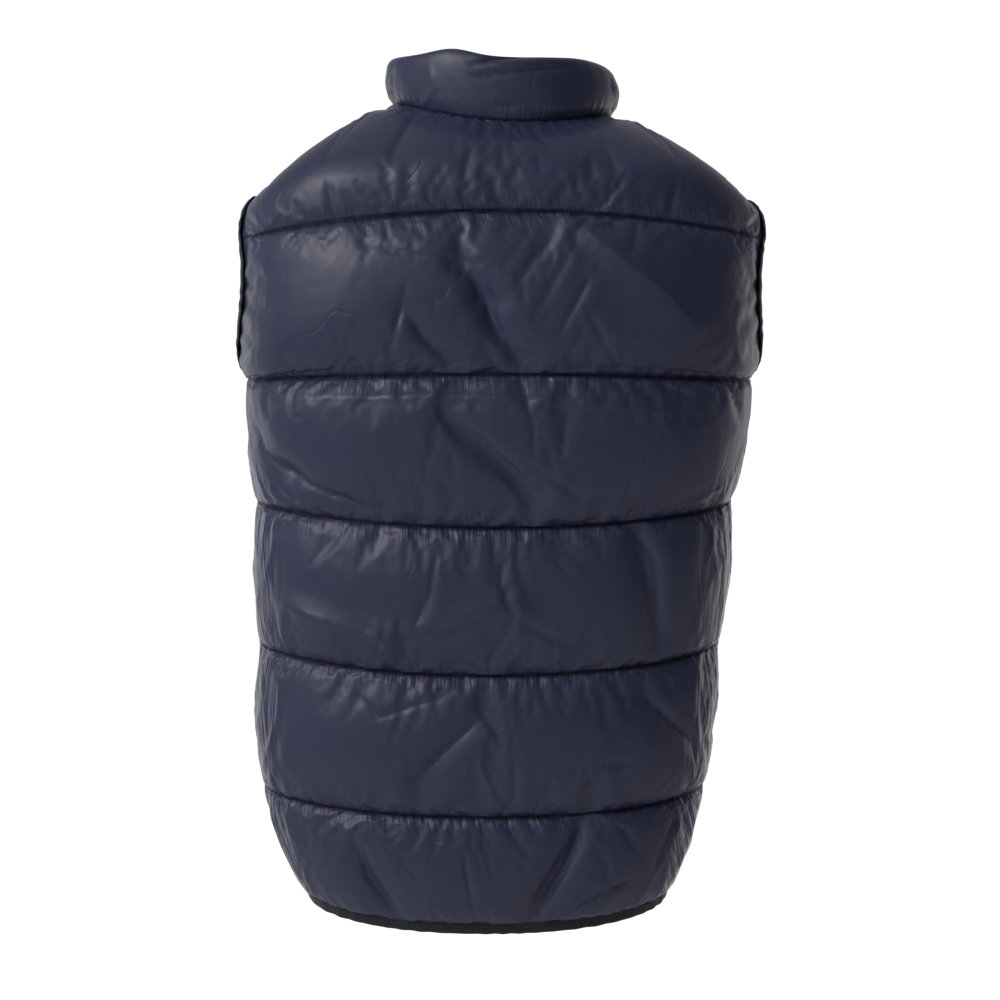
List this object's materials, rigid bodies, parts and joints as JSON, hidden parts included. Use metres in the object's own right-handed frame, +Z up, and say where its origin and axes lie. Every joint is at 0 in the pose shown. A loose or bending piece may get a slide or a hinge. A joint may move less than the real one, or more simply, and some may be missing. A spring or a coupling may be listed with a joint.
{
  "type": "quilted vest",
  "caption": "Sleeveless padded vest with horizontal quilting, stand collar, bound armholes and hem, and a zipped front, filled out as if worn.",
  "frame": {"origin": "middle of the neck, level with the points where the shoulder seams meet the collar", "axes": "+Z up the body, -Y out of the front, +Y out of the back, +X to the wearer's left"},
  "size_m": [0.4773, 0.2895, 0.7869],
  "materials": {
    "nylon": "dark navy woven nylon with a sheen",
    "binding": "matt dark navy binding tape",
    "zip_tape": "matt woven tape",
    "zip_teeth": "moulded plastic",
    "zip_metal": "dark enamelled metal"
  },
  "bodies": {
    "vest": {"back": "nylon", "front_left": "nylon", "front_right": "nylon", "collar": "nylon", "armhole_binding_left": "binding", "armhole_binding_right": "binding", "hem_binding": "binding", "pocket_welt_left": "binding", "pocket_welt_right": "binding", "zip_tape_left": "zip_tape", "zip_tape_right": "zip_tape", "zip_teeth": "zip_teeth", "zip_slider": "zip_metal"},
    "pull": {"zip_pull": "zip_metal"}
  },
  "joints": [
    {"name": "pull_swing", "type": "hinge", "parent": "vest", "child": "pull", "pos_m": [0, -0.09648, -0.01679], "axis": [-1, 0, 0], "range_deg": [0, 150]}
  ]
}
